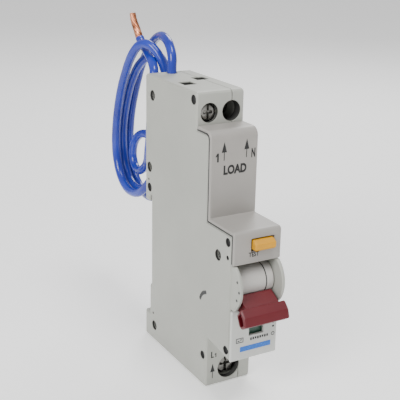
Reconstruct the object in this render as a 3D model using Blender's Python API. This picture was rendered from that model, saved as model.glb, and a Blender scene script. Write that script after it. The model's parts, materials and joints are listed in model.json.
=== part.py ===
"""Single-module residual current device with overload protection and a flying neutral lead.

Frame: the origin is the centre of the DIN-rail seat. +X runs across the module's width, +Z up,
and the front of the device faces -Y. Sub-parts are laid out by their depth, forward of the back
plane, and their height above the base, both in millimetres; place() turns those into the frame.
"""
import math

import bmesh
import bpy
from mathutils import Vector

MM = 0.001

# ---- driving dimensions, millimetres ----
WIDTH = 17.8            # one module less its ganging clearance
HEIGHT = 101.1
WALL = 1.4              # side walls
SKIN = 1.5              # perimeter walls
GAP = 0.3               # clearance between neighbouring pieces
SPLIT_X = 4.2           # plane where the two case halves meet
RAIL_HEIGHT = 39.3      # rail centre above the base
SEAT_DEPTH = 4.5        # rail seat forward of the back plane
TERMINAL_DEPTH = 37.2   # face with the two load screws
BODY_DEPTH = 46.6       # LOAD face and line terminal face
NOSE_DEPTH = 62.1       # face that shows through the panel cut-out
NOSE_LOW = 17.0
NOSE_HIGH = 61.5
SHOULDER = 90.3         # shelf above the LOAD face
COVER_WALL = 1.1
WINDOW_LOW = 35.0       # toggle window
WINDOW_HIGH = 50.7
HALF = WIDTH / 2
INNER = HALF - WALL

PIVOT = (56.6, 42.8)    # toggle axle: depth, height
DRUM_RADIUS = 5.3
CHEEK_RADIUS = 9.6
PIN_RADIUS = 1.4
CRANK = (3.9, 118.0)    # crank pin: radius and angle about the axle

ARM_PIVOT = (39.0, 29.0)
LEVER_PIVOT = (47.0, 30.0)
COIL_AXIS = (-1.6, 50.0)    # x and height of the solenoid's axis

TERMINAL_HEIGHT = 94.1
LOAD_X = -4.2
NEUTRAL_X = 4.1
LINE_X = 0.2
LINE_HEIGHT = 6.0

LEAD_RADIUS = 1.65
STRIPPED_RADIUS = 1.15   # bare end: tip; it flares to 1.25 times this near the insulation
LEAD_EXIT = (0.0, 3.0)      # x and depth on the top face
POCKET_RADIUS = 2.05
POCKET_FLOOR = 97.6

# cut-outs in the front: x range and height range
WINDOW = (-7.3, 7.3, WINDOW_LOW, WINDOW_HIGH)
BUTTON_HOLE = (-2.4, 6.2, 54.5, 58.8)
FLAG_WINDOW = (-2.0, 3.6, 25.2, 29.6)
FLAG_CHANNEL = (-2.6, 4.3, 20.0, 34.8)

# closed rivets right through the case, and blind recesses in its left side: depth, height
RIVETS = [(5.5, 94.2), (3.3, 67.7), (52.7, 51.3), (7.4, 6.2)]
RIVET_RADIUS = 1.6
BOSS_RADIUS = 3.0
RECESSES = [(35.0, 98.4, 1.7), (3.3, 60.0, 1.7), (2.6, 62.9, 0.5), (58.6, 57.6, 1.5),
            (58.6, 52.4, 0.8), (59.0, 20.2, 1.5), (44.2, 11.4, 1.5), (6.3, 10.9, 0.5)]
RECESS_FLOOR = 0.9
SLOT_RADIUS = 0.75      # a short curved slot behind the left cheek: centres along it
SLOT_PATH = [(41.9, 31.9), (42.3, 32.8), (42.9, 33.6), (43.6, 34.3), (44.4, 34.8), (45.3, 35.2)]

# route of the neutral lead, outside the case: x, depth, height
LEAD_ROUTE = [
    (0.0, 3.0, 97.9), (0.0, 3.0, 102.5), (0.4, 2.2, 106.8), (1.0, -1.2, 110.4), (2.0, -6.4, 112.0),
    (3.0, -11.8, 112.0), (4.0, -18.4, 109.8), (4.4, -25.0, 105.0), (4.4, -30.8, 98.2),
    (4.2, -35.2, 89.6), (4.0, -38.9, 80.0), (4.0, -41.0, 71.1), (4.0, -41.1, 62.6),
    (3.9, -38.2, 54.6), (3.8, -31.5, 48.8), (3.5, -22.5, 47.0), (3.2, -13.5, 50.5),
    (2.9, -7.0, 58.6), (2.7, -4.2, 69.0), (2.4, -3.8, 81.0), (2.0, -4.0, 92.5), (1.3, -5.2, 100.6),
    (-0.2, -8.0, 106.4), (-2.2, -11.4, 109.2), (-3.8, -15.8, 108.4), (-4.5, -20.8, 104.0),
    (-4.4, -26.4, 97.0), (-4.2, -31.5, 88.8), (-4.1, -35.4, 78.5), (-4.1, -37.1, 68.1),
    (-4.1, -36.0, 59.8), (-4.2, -31.6, 53.4), (-4.2, -24.8, 50.2), (-4.0, -16.4, 51.4),
    (-3.2, -9.8, 56.6), (-1.6, -5.8, 63.8), (-0.8, -6.2, 72.0), (0.8, -8.0, 80.6), (3.2, -8.6, 90.0),
    (4.5, -9.8, 98.0), (4.2, -13.2, 103.2), (3.2, -17.6, 104.6), (1.8, -22.0, 102.4), (0.6, -26.6, 98.2),
    (0.0, -31.4, 91.2), (0.0, -35.6, 83.0), (0.0, -38.6, 74.0), (0.0, -39.4, 65.2),
    (0.0, -37.6, 57.4), (-0.1, -32.8, 52.0), (-0.3, -25.6, 50.2), (-0.2, -18.2, 52.2),
    (0.6, -12.6, 57.4), (1.6, -10.8, 64.4), (2.1, -14.2, 70.4), (2.1, -20.8, 72.8), (2.2, -27.6, 71.4),
    (2.2, -32.8, 67.2), (2.1, -34.4, 62.0), (1.9, -32.2, 57.8), (1.5, -27.8, 56.7),
    (0.9, -22.8, 58.6), (0.0, -17.8, 61.8), (-1.6, -13.2, 65.2), (-3.2, -9.2, 70.0), (-4.1, -6.2, 76.4),
    (-4.6, -4.6, 83.0), (-4.6, -4.0, 90.0), (-4.1, -3.6, 96.0), (-3.2, -4.8, 100.6), (-2.2, -8.2, 103.2),
    (-1.1, -12.8, 104.8), (-0.2, -17.8, 106.4), (-0.1, -21.0, 108.2), (-0.2, -22.8, 110.0),
]
LEAD_STEP = 7.2
STRIPPED_END = [(-0.3, -23.2, 110.6), (-0.5, -24.7, 113.1), (-0.8, -26.4, 115.8), (-0.9, -27.4, 118.6)]


# ---------------------------------------------------------------- tools
def place(depth, height):
    """Frame coordinates y and z, in metres, of a depth and height in millimetres."""
    return (SEAT_DEPTH - depth) * MM, (height - RAIL_HEIGHT) * MM


def point(x, depth, height):
    y, z = place(depth, height)
    return Vector((x * MM, y, z))


def clear_scene():
    for old in list(bpy.data.objects):
        bpy.data.objects.remove(old, do_unlink=True)


def material(name, color, roughness, metallic=0.0):
    made = bpy.data.materials.new(name)
    made.use_nodes = True
    shader = made.node_tree.nodes["Principled BSDF"]
    shader.inputs["Base Color"].default_value = (*color, 1.0)
    shader.inputs["Roughness"].default_value = roughness
    shader.inputs["Metallic"].default_value = metallic
    return made


def add_object(name, bm, finish=None):
    bmesh.ops.recalc_face_normals(bm, faces=bm.faces)
    mesh = bpy.data.meshes.new(name)
    bm.to_mesh(mesh)
    bm.free()
    made = bpy.data.objects.new(name, mesh)
    bpy.context.scene.collection.objects.link(made)
    if finish is None:
        made.hide_render = True
        made.display_type = "WIRE"
    else:
        mesh.materials.append(finish)
    return made


def smooth(made, angle=35.0):
    made.data.shade_smooth()
    made.data.set_sharp_from_angle(angle=math.radians(angle))
    return made


def move_origin(made, x, depth, height):
    """Puts the object's origin on a joint's axis and leaves its mesh where it is."""
    origin = point(x, depth, height)
    for vertex in made.data.vertices:
        vertex.co -= origin
    made.location = origin
    return made


def boolean(target, cutter, operation="DIFFERENCE", self_crossing=False):
    step = target.modifiers.new(cutter.name, "BOOLEAN")
    step.operation = operation
    step.object = cutter
    step.solver = "EXACT"
    step.use_self = self_crossing
    return target


def offset_corner(before, corner, after, distance):
    """The corner of an outline moved inward, parallel to both of its sides."""
    a, b, c = Vector(before), Vector(corner), Vector(after)
    first, second = (b - a).normalized(), (c - b).normalized()
    normal_1, normal_2 = Vector((-first.y, first.x)), Vector((-second.y, second.x))
    bisector = normal_1 + normal_2
    scale = distance / max(1e-6, 1.0 + normal_1.dot(normal_2))
    return tuple(b + bisector * scale)


def inset(outline, distance):
    count = len(outline)
    return [offset_corner(outline[i - 1], outline[i], outline[(i + 1) % count], distance)
            for i in range(count)]


def rounded(corners, steps=4):
    """Outline from (depth, height) corners; a third number rounds that corner by a radius."""
    outline = []
    count = len(corners)
    for i, corner in enumerate(corners):
        here = Vector(corner[:2])
        if len(corner) == 2:
            outline.append(tuple(here))
            continue
        radius = corner[2]
        back = (Vector(corners[i - 1][:2]) - here).normalized()
        ahead = (Vector(corners[(i + 1) % count][:2]) - here).normalized()
        half_angle = back.angle(ahead) / 2
        reach = radius / math.tan(half_angle)
        centre = here + (back + ahead).normalized() * (radius / math.sin(half_angle))
        start, end = here + back * reach - centre, here + ahead * reach - centre
        turn = start.angle_signed(end)
        for k in range(steps + 1):
            angle = -turn * k / steps
            cos, sin = math.cos(angle), math.sin(angle)
            outline.append((centre.x + start.x * cos - start.y * sin,
                            centre.y + start.x * sin + start.y * cos))
    return outline


def add_prism(bm, outline, x_low, x_high, chamfer_low=0.0, chamfer_high=0.0):
    """A closed prism along X of a counter-clockwise outline in depth and height."""
    levels = []
    if chamfer_low:
        levels.append((x_low, inset(outline, chamfer_low)))
    levels.append((x_low + chamfer_low, outline))
    levels.append((x_high - chamfer_high, outline))
    if chamfer_high:
        levels.append((x_high, inset(outline, chamfer_high)))
    rings = [[bm.verts.new(point(x, *p)) for p in shape] for x, shape in levels]
    count = len(outline)
    for low, high in zip(rings, rings[1:]):
        for i in range(count):
            j = (i + 1) % count
            bm.faces.new((low[i], low[j], high[j], high[i]))
    bm.faces.new(rings[0])
    bm.faces.new(list(reversed(rings[-1])))


def prism(name, outline, x_low, x_high, finish=None, chamfer_low=0.0, chamfer_high=0.0):
    bm = bmesh.new()
    add_prism(bm, outline, x_low, x_high, chamfer_low, chamfer_high)
    return add_object(name, bm, finish)


def rectangle(depth_low, depth_high, height_low, height_high):
    return [(depth_low, height_low), (depth_high, height_low),
            (depth_high, height_high), (depth_low, height_high)]


def box(name, xs, depths, heights, finish=None):
    return prism(name, rectangle(*depths, *heights), *xs, finish)


def circle(centre, radius, sides=24, start=0.0):
    return [(centre[0] + radius * math.cos(start + 2 * math.pi * k / sides),
             centre[1] + radius * math.sin(start + 2 * math.pi * k / sides)) for k in range(sides)]


def turned_bodies(bm, profile, start, direction, sides=24, closed=False):
    """Revolves (radius, distance) pairs about a line that starts at a point; distances in mm."""
    axis = direction.normalized()
    across = axis.orthogonal().normalized()
    other = axis.cross(across)
    rings = []
    for radius, distance in profile:
        centre = start + axis * distance * MM
        if radius < 1e-6:
            rings.append([bm.verts.new(centre)])
            continue
        rings.append([bm.verts.new(centre + (across * math.cos(2 * math.pi * k / sides)
                                             + other * math.sin(2 * math.pi * k / sides)) * radius * MM)
                      for k in range(sides)])
    pairs = list(zip(rings, rings[1:]))
    if closed:
        pairs.append((rings[-1], rings[0]))
    for low, high in pairs:
        for k in range(sides):
            j = (k + 1) % sides
            corners = [low[k % len(low)], low[j % len(low)], high[j % len(high)], high[k % len(high)]]
            unique = list(dict.fromkeys(corners))
            if len(unique) > 2:
                bm.faces.new(unique)


def turned(name, profile, start, direction, finish=None, sides=24, closed=False):
    bm = bmesh.new()
    turned_bodies(bm, profile, start, Vector(direction), sides, closed)
    return add_object(name, bm, finish)


def rod(name, start, direction, length, radius, finish=None, sides=20):
    """A plain round bar from a start point; a chamfer of a fifth of its radius on a finished one."""
    ease = 0.2 * radius if finish else 0.0
    profile = [(0, 0), (radius - ease, 0), (radius, ease), (radius, length - ease),
               (radius - ease, length), (0, length)]
    if not finish:
        profile = [(0, 0), (radius, 0), (radius, length), (0, length)]
    return turned(name, profile, start, direction, finish, sides)


ALONG_X = (1, 0, 0)
FORWARD = (0, -1, 0)
UP = (0, 0, 1)


def smooth_route(route, step):
    """Points about a step apart along a Catmull-Rom curve through the route, both in mm."""
    dense = []
    padded = [route[0], *route, route[-1]]
    for p0, p1, p2, p3 in zip(padded, padded[1:], padded[2:], padded[3:]):
        a, b, c, d = Vector(p0), Vector(p1), Vector(p2), Vector(p3)
        for k in range(12):
            t = k / 12
            dense.append(0.5 * ((2 * b) + (c - a) * t + (2 * a - 5 * b + 4 * c - d) * t ** 2
                                + (3 * b - a - 3 * c + d) * t ** 3))
    dense.append(Vector(route[-1]))
    total = sum((q - p).length for p, q in zip(dense, dense[1:]))
    count = max(2, round(total / step))
    spacing, picked, walked = total / count, [dense[0]], 0.0
    for p, q in zip(dense, dense[1:]):
        piece = (q - p).length
        while len(picked) < count and walked + piece >= spacing * len(picked):
            picked.append(p.lerp(q, (spacing * len(picked) - walked) / piece))
        walked += piece
    picked.append(dense[-1])
    return [tuple(p) for p in picked]


def tube(name, route, radius, finish, resolution=2, radii=None):
    """A round cord through (x, depth, height) points, as a bevelled curve with filled ends."""
    curve = bpy.data.curves.new(name, "CURVE")
    curve.dimensions = "3D"
    curve.bevel_depth = radius * MM
    curve.bevel_resolution = resolution
    curve.use_fill_caps = True
    spline = curve.splines.new("POLY")
    spline.points.add(len(route) - 1)
    for k, (target, where) in enumerate(zip(spline.points, route)):
        target.co = (*point(*where), 1.0)
        target.radius = radii[k] if radii else 1.0
    curve.materials.append(finish)
    made = bpy.data.objects.new(name, curve)
    bpy.context.scene.collection.objects.link(made)
    return made


# ---------------------------------------------------------------- case
def body_outline():
    """Side profile of both case halves, counter-clockwise, without the cover and the label."""
    under = COVER_WALL + GAP
    return rounded([
        (0, 0, 0.8), (BODY_DEPTH, 0, 1.0), (BODY_DEPTH, NOSE_LOW + 2.0),
        (NOSE_DEPTH - under, NOSE_LOW + 0.2), (NOSE_DEPTH - under, NOSE_HIGH - under, 0.6),
        (BODY_DEPTH - under, NOSE_HIGH - under), (BODY_DEPTH - under, SHOULDER - under, 1.6),
        (TERMINAL_DEPTH, SHOULDER - under), (TERMINAL_DEPTH, HEIGHT, 1.5), (0, HEIGHT, 0.8),
        (0, 54.6), (3.2, 54.6), (3.2, 57.0), (4.8, 57.0), (4.8, 21.8), (3.6, 21.8), (3.6, 10), (0, 10),
    ], 3)


def cavity_outline():
    under = COVER_WALL + GAP + SKIN
    return [
        (6.3, SKIN), (BODY_DEPTH - SKIN, SKIN), (BODY_DEPTH - SKIN, NOSE_LOW + 3.5),
        (NOSE_DEPTH - under, NOSE_LOW + 1.9), (NOSE_DEPTH - under, NOSE_HIGH - under),
        (BODY_DEPTH - under, NOSE_HIGH - under), (BODY_DEPTH - under, SHOULDER - under),
        (TERMINAL_DEPTH - SKIN, SHOULDER - under), (TERMINAL_DEPTH - SKIN, HEIGHT - SKIN),
        (SKIN, HEIGHT - SKIN), (SKIN, 60.0), (6.3, 60.0),
    ]


def cheek_outline():
    """Side of the toggle window: a plate that swells forward in an arc about the axle."""
    low, high = WINDOW_LOW + GAP, WINDOW_HIGH - GAP
    first = math.asin((low - PIVOT[1]) / CHEEK_RADIUS)
    last = math.asin((high - PIVOT[1]) / CHEEK_RADIUS)
    arc = [(PIVOT[0] + CHEEK_RADIUS * math.cos(first + (last - first) * k / 10),
            PIVOT[1] + CHEEK_RADIUS * math.sin(first + (last - first) * k / 10)) for k in range(11)]
    return [(51.0, low), *arc, (51.0, high)]


def case_bosses(name, x_low, x_high):
    """Solid columns round the rivets, inside a case half."""
    bm = bmesh.new()
    for centre in RIVETS:
        add_prism(bm, circle(centre, BOSS_RADIUS, 16), x_low, x_high)
    return add_object(name, bm)


def case_openings(name):
    """Everything that is cut through the case: window, button, screws, cables, rivets, flag."""
    bm = bmesh.new()
    for back, (x_low, x_high, low, high) in ((58.5, WINDOW), (56.5, BUTTON_HOLE), (58.5, FLAG_CHANNEL)):
        add_prism(bm, rectangle(back, NOSE_DEPTH + 2, low, high), x_low, x_high)
    for x, height, radius, start, sides in (
            (LOAD_X, TERMINAL_HEIGHT, 3.3, 33.0, 24), (NEUTRAL_X, TERMINAL_HEIGHT, 3.5, 33.0, 24),
            (LINE_X, LINE_HEIGHT, 4.4, 43.0, 28)):
        turned_bodies(bm, [(0, 0), (radius, 0), (radius, 8), (0, 8)], point(x, start, height),
                      Vector(FORWARD), sides)
    add_prism(bm, rectangle(19.6, 24.8, 95.0, 104.0), -6.6, -1.8)
    add_prism(bm, rectangle(13.6, 18.6, 95.0, 104.0), 1.6, 6.4)
    add_prism(bm, rectangle(21.8, 27.7, -2.0, 4.0), -3.2, 3.6)
    turned_bodies(bm, [(0, 0), (POCKET_RADIUS, 0), (POCKET_RADIUS, 6), (0, 6)],
                  point(LEAD_EXIT[0], LEAD_EXIT[1], POCKET_FLOOR), Vector(UP), 16)
    add_prism(bm, rectangle(-2.0, 3.55, -2.0, 12.0), -4.7, 4.7)
    for centre in RIVETS:
        add_prism(bm, circle(centre, RIVET_RADIUS + GAP, 16), -HALF - 1, HALF + 1)
    for depth, height, radius in RECESSES:
        add_prism(bm, circle((depth, height), radius, 14), -HALF - 1, -HALF + RECESS_FLOOR)
    for centre in SLOT_PATH:
        add_prism(bm, circle(centre, SLOT_RADIUS, 10), -HALF - 1, -HALF + RECESS_FLOOR)
    return add_object(name, bm)


def case_half(name, x_low, x_high, finish, left):
    shell = prism(name, body_outline(), x_low, x_high, finish,
                  0.5 if left else 0.0, 0.0 if left else 0.5)
    hollow = (-INNER, x_high + 1) if left else (x_low - 1, INNER)
    boolean(shell, prism(name + ".hollow", cavity_outline(), *hollow))
    bosses = case_bosses(name + ".bosses", *((-INNER - 0.5, x_high) if left else (x_low, INNER + 0.5)))
    boolean(shell, bosses, "UNION")
    cheek_x = (-8.5, -7.3) if left else (7.3, 8.5)
    boolean(shell, prism(name + ".cheek", cheek_outline(), *cheek_x, None, 0.25, 0.25), "UNION")
    return shell


def left_shell(finish, openings):
    """Main case half, with the rail pad, the terminal partition, the lead's collar and the clip's stop."""
    shell = case_half("left_shell", -HALF, SPLIT_X - GAP / 2, finish, True)
    bm = bmesh.new()
    add_prism(bm, rectangle(11.5, 36.5, 87.2, 100.0), -0.7, 0.4)
    add_prism(bm, rectangle(4.5, 5.5, 24.5, 54.0), -7.5, 3.6)
    boolean(shell, add_object("left_shell.ribs", bm), "UNION")
    collar = box("left_shell.collar", (-3.6, 3.6), (0.9, 6.4), (POCKET_FLOOR - 1.2, HEIGHT - 1.0))
    boolean(shell, collar, "UNION")
    boolean(shell, openings, self_crossing=True)
    stop = box("left_shell.stop", (-1.5, 1.5), (0.8, 4.0), (4.5, 6.0))
    boolean(shell, stop, "UNION")
    bore = prism("left_shell.bore", circle(PIVOT, PIN_RADIUS + GAP, 16), -8.2, 0.0)
    return boolean(shell, bore)


def right_shell(finish, openings):
    shell = case_half("right_shell", SPLIT_X + GAP / 2, HALF, finish, False)
    boolean(shell, openings, self_crossing=True)
    bore = prism("right_shell.bore", circle(PIVOT, PIN_RADIUS + GAP, 16), 6.0, 8.2)
    return boolean(shell, bore)


def front_cover(finish):
    """Bent cover over the shoulder, the LOAD face, the nose shelf and the TEST panel."""
    inner, corner = COVER_WALL, 3.0
    outline = rounded([
        (TERMINAL_DEPTH + GAP, SHOULDER - inner), (BODY_DEPTH - inner, SHOULDER - inner, corner - inner),
        (BODY_DEPTH - inner, NOSE_HIGH - inner), (NOSE_DEPTH - inner, NOSE_HIGH - inner, 0.3),
        (NOSE_DEPTH - inner, WINDOW_HIGH), (NOSE_DEPTH, WINDOW_HIGH), (NOSE_DEPTH, NOSE_HIGH, 1.3),
        (BODY_DEPTH, NOSE_HIGH), (BODY_DEPTH, SHOULDER, corner), (TERMINAL_DEPTH + GAP, SHOULDER),
    ], 4)
    cover = prism("front_cover", outline, -HALF, HALF, finish, 0.35, 0.35)
    return boolean(cover, box("front_cover.button", BUTTON_HOLE[:2], (59, 64), BUTTON_HOLE[2:]))


def label_plate(finish):
    low, high = NOSE_LOW, WINDOW_LOW
    outline = rounded([(NOSE_DEPTH - COVER_WALL, low), (NOSE_DEPTH, low, 0.5), (NOSE_DEPTH, high, 0.5),
                       (NOSE_DEPTH - COVER_WALL, high)], 3)
    plate = prism("label_plate", outline, -HALF, HALF, finish, 0.35, 0.35)
    return boolean(plate, box("label_plate.window", FLAG_WINDOW[:2], (60, 64), FLAG_WINDOW[2:]))


def rivets(finish):
    for k, (depth, height) in enumerate(RIVETS, 1):
        head, neck, half = RIVET_RADIUS, RIVET_RADIUS - 0.35, HALF - 0.8
        profile = [(0, 0), (head, 0), (head, 0.8), (neck, 0.8), (neck, 2 * half - 0.8),
                   (head, 2 * half - 0.8), (head, 2 * half), (0, 2 * half)]
        smooth(turned(f"case_rivet_{k}", profile, point(-half, depth, height), ALONG_X, finish, 16))


# ---------------------------------------------------------------- toggle
def polar(radius, degrees, centre=PIVOT):
    angle = math.radians(degrees)
    return centre[0] + radius * math.cos(angle), centre[1] + radius * math.sin(angle)


def grip_section(shrink=0.0):
    """Cross-section of the toggle's grip bar in the rest position."""
    corners = [(11.2, -27.5), (10.9, -45.5), (14.6, -50.0), (15.9, -47.6), (16.6, -37.5), (14.3, -31.0)]
    return inset([polar(radius, angle) for radius, angle in corners], shrink)


def toggle_lever(finish):
    """Web and full-width hollow grip bar, which clips over both drums."""
    web = [polar(DRUM_RADIUS + GAP, angle) for angle in (-30, -38, -47, -56, -65, -74)]
    outline = [*web, polar(8.6, -60), polar(12.4, -47), polar(12.4, -30), polar(8.6, -29)]
    lever = prism("toggle_lever", outline, -6.3, 6.3, finish)
    bar = prism("toggle_lever.bar", grip_section(), -8.6, 8.6, None, 0.5, 0.5)
    boolean(lever, bar, "UNION")
    boolean(lever, prism("toggle_lever.core", grip_section(0.9), -9.5, -1.0))
    return move_origin(lever, 0, *PIVOT)


def toggle_drum(finish):
    drum = prism("toggle_drum", circle(PIVOT, DRUM_RADIUS, 36), -7.0, SPLIT_X - GAP / 2, finish, 0.2, 0.2)
    boolean(drum, prism("toggle_drum.bore", circle(PIVOT, PIN_RADIUS + GAP, 16), -9, 9))
    boolean(drum, box("toggle_drum.slot", (0.0, 1.6), (45, 56.4), (34, 50)))
    pin = prism("toggle_drum.crank", circle(polar(*CRANK), 0.55, 12), -0.4, 2.0)
    boolean(drum, pin, "UNION")
    return smooth(move_origin(drum, 0, *PIVOT))


def reset_drum(finish):
    """Narrow drum of the residual-current half, beside the main one on the same axle."""
    outline = circle(PIVOT, DRUM_RADIUS, 36)
    drum = prism("reset_drum", outline, SPLIT_X + GAP / 2, 7.0, finish, 0.2, 0.2)
    boolean(drum, prism("reset_drum.bore", circle(PIVOT, PIN_RADIUS + GAP, 16), 0, 9))
    return smooth(move_origin(drum, 0, *PIVOT))


def crank_link(finish):
    """Flat link from the drum's crank pin back to the contact arm."""
    start, end = polar(*CRANK), (ARM_PIVOT[0] - 1.3, ARM_PIVOT[1] + 12.4)
    run = Vector(end) - Vector(start)
    heading = math.atan2(run.y, run.x)
    outline = []
    for centre, turn in ((end, -math.pi / 2), (start, math.pi / 2)):
        for k in range(9):
            angle = heading + turn + math.pi * k / 8
            outline.append((centre[0] + 1.3 * math.cos(angle), centre[1] + 1.3 * math.sin(angle)))
    link = prism("crank_link", outline, 0.3, 1.3, finish)
    boolean(link, prism("crank_link.eye", circle(start, 0.85, 12), -2, 3))
    boolean(link, prism("crank_link.far_eye", circle(end, 0.7, 12), -2, 3))
    return move_origin(link, 0, *start)


def flag_indicator(green):
    """Contact-position flag: a thin slide behind the label window."""
    box("flag_indicator", (-2.3, 3.9), (59.9, 60.7), (25.0, 34.6), green)


# ---------------------------------------------------------------- switching mechanism
def contact_arm(copper, silver):
    """Moving contact arm with its contact pad on the rear side."""
    d, h = ARM_PIVOT
    outline = [(d - 1.6, h - 2.0), (d + 1.6, h - 2.0), (d + 1.2, h + 17.0), (d - 1.2, h + 17.0),
               (d - 1.2, h + 16.5), (d - 2.7, h + 16.5), (d - 2.7, h + 13.5), (d - 1.2, h + 13.5)]
    arm = prism("contact_arm", outline, -2.6, -0.2, copper)
    boolean(arm, prism("contact_arm.bore", circle(ARM_PIVOT, 1.1, 16), -4, 2))
    move_origin(arm, 0, *ARM_PIVOT)
    smooth(rod("contact_pin", point(-4.4, *ARM_PIVOT), ALONG_X, 5.6, 0.8, silver, 16))


def fixed_contact(copper):
    outline = [(30.1, 28.5), (31.6, 28.5), (31.6, 41.0), (32.5, 41.0), (32.5, 46.0), (31.6, 46.0),
               (31.6, 47.5), (30.1, 47.5)]
    prism("fixed_contact", outline, -3.4, 0.6, copper)
    runner = [(29.7, 28.2), (27.6, 24.0), (27.6, 12.5), (28.6, 12.5), (28.6, 23.7), (30.6, 28.2)]
    prism("arc_runner", runner, -3.4, 0.6, copper)


def arc_chute(steel):
    """Comb of splitter plates on one spine."""
    outline = [(9.0, 13.5), (26.6, 13.5)]
    teeth, pitch, plate, root = 11, 2.6, 1.1, 10.2
    for k in range(teeth):
        top = 13.5 + k * pitch + plate
        outline += [(26.6, top), (root, top)]
        if k < teeth - 1:
            outline += [(root, top + pitch - plate), (26.6, top + pitch - plate)]
    outline[-1] = (9.0, outline[-1][1])
    prism("arc_chute", outline, -6.9, 3.4, steel)


def solenoid(copper, steel):
    x, h = COIL_AXIS
    ridges, pitch = 8, 2.0
    profile = [(2.5, 0), (3.4, 0)]
    for k in range(ridges):
        profile += [(4.5, k * pitch + 0.4), (4.5, k * pitch + 1.6), (3.7, (k + 1) * pitch)]
    profile.append((2.5, ridges * pitch))
    smooth(turned("trip_coil", profile, point(x, 10.0, h), FORWARD, copper, 20, True), 60)
    smooth(rod("coil_core", point(x, 9.8, h), FORWARD, 6.0, 2.0, steel))
    yoke = [(8.0, 43.5), (9.5, 43.5), (9.5, 55.3), (26.9, 55.3), (26.9, 43.5), (28.4, 43.5),
            (28.4, 56.8), (8.0, 56.8)]
    frame = prism("coil_yoke", yoke, -5.4, 2.2, steel)
    hole = rod("coil_yoke.hole", point(x, 25.0, h), FORWARD, 5.0, 1.4)
    boolean(frame, hole)
    profile = [(0, 0), (2.0, 0), (2.0, 6.5), (1.0, 6.5), (1.0, 21.0), (0, 21.0)]
    plunger = smooth(turned("coil_plunger", profile, point(x, 17.0, h), FORWARD, steel, 20))
    move_origin(plunger, x, 17.0, h)


def trip_lever(plastic, steel):
    d, h = LEVER_PIVOT
    outline = [(d - 4.2, h - 10.0), (d - 2.8, h - 10.0), (d + 1.6, h - 1.8), (d + 2.2, h + 1.2),
               (d - 1.8, h + 22.5), (d - 3.6, h + 22.5), (d - 2.2, h + 2.0), (d - 1.8, h - 1.5)]
    lever = prism("trip_lever", outline, -7.0, -4.0, plastic)
    tab = box("trip_lever.tab", (-5.0, -0.4), (d - 3.4, d - 1.9), (h + 18.6, h + 22.0))
    boolean(lever, tab, "UNION")
    boolean(lever, prism("trip_lever.bore", circle(LEVER_PIVOT, 1.1, 16), -9, 2))
    move_origin(lever, 0, *LEVER_PIVOT)
    smooth(rod("lever_pin", point(-7.3, *LEVER_PIVOT), ALONG_X, 4.6, 0.8, steel, 16))


def thermal_release(bimetal, brass):
    prism("bimetal_strip", [(39.4, 12.5), (40.2, 12.5), (40.2, 25.5), (39.4, 25.5)], -7.0, -4.2, bimetal)
    profile = [(0, 0), (1.2, 0), (1.2, 2.6), (1.8, 2.6), (1.8, 3.8), (0, 3.8)]
    smooth(turned("calibration_screw", profile, point(-5.6, 40.5, 14.5), FORWARD, brass, 16))


def helix(name, start, axis_height, radius, wire, turns, finish, per_turn=10):
    """A small coil spring standing along Z from a start point (x, depth, height)."""
    route = []
    for k in range(int(turns * per_turn) + 1):
        angle = 2 * math.pi * k / per_turn
        route.append((start[0] + radius * math.cos(angle), start[1] + radius * math.sin(angle),
                      start[2] + axis_height * k / (turns * per_turn)))
    return tube(name, route, wire, finish, 1)


def braid(copper):
    route = smooth_route([(-1.4, 40.2, 25.9), (-1.4, 42.0, 22.5), (-3.0, 42.2, 19.0),
                          (-3.6, 41.4, 15.0), (-3.2, 39.8, 11.5)], 1.6)
    tube("flexible_braid", route, 0.7, copper, 1)


# ---------------------------------------------------------------- terminals
def terminal(prefix, x, height, cage, bar, screw, finishes):
    """Rising-cage terminal: the screw turns in place and draws the cage forward on to the bar.

    cage: half width, half height, rear and front depth, wall. bar: rear depth, low and high end.
    screw: rear and front of its head, head radius, shank radius.
    """
    steel, brass = finishes
    half_x, half_z, rear, front, wall = cage
    bar_rear, bar_low, bar_high = bar
    head_rear, head_front, head_radius, shank = screw
    frame = box(prefix + "_cage", (x - half_x, x + half_x), (rear, front),
                (height - half_z, height + half_z), steel)
    boolean(frame, box(prefix + "_cage.tunnel", (x - half_x + wall, x + half_x - wall),
                       (rear + wall, front - 1.3), (height - half_z - 1, height + half_z + 1)))
    boolean(frame, rod(prefix + "_cage.hole", point(x, front - 3, height), FORWARD, 6.0, shank + GAP))
    tip = bar_rear + 1.2 + GAP
    length, neck = head_front - tip, head_rear - tip
    profile = [(0, 0), (shank - 0.3, 0), (shank, 0.4), (shank, neck), (head_radius, neck),
               (head_radius, length - 0.4), (head_radius - 0.4, length), (0, length)]
    made = smooth(turned(prefix + "_screw", profile, point(x, tip, height), FORWARD, steel, 20))
    boolean(made, box(prefix + "_screw.slot", (x - 0.5, x + 0.5), (head_front - 1.1, head_front + 2),
                      (height - 5, height + 5)))
    move_origin(made, x, tip, height)
    box(prefix + "_bar", (x - half_x + wall + GAP, x + half_x - wall - GAP),
        (bar_rear, bar_rear + 1.2), (bar_low, bar_high), brass)


def terminals(steel, brass):
    low, high = TERMINAL_HEIGHT - 6.6, TERMINAL_HEIGHT + 4.6
    terminal("load_terminal", LOAD_X, TERMINAL_HEIGHT, (2.95, 4.2, 18.2, 29.0, 0.8),
             (25.0, low, high), (33.3, 36.0, 2.9, 1.6), (steel, brass))
    terminal("neutral_terminal", NEUTRAL_X, TERMINAL_HEIGHT, (2.95, 4.2, 12.2, 23.0, 0.8),
             (19.0, low, high), (27.3, 30.0, 2.9, 1.6), (steel, brass))
    terminal("line_terminal", LINE_X, LINE_HEIGHT, (4.5, 4.0, 20.4, 36.2, 1.1),
             (28.0, 1.8, 12.4), (41.2, 44.2, 3.7, 2.1), (steel, brass))


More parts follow.
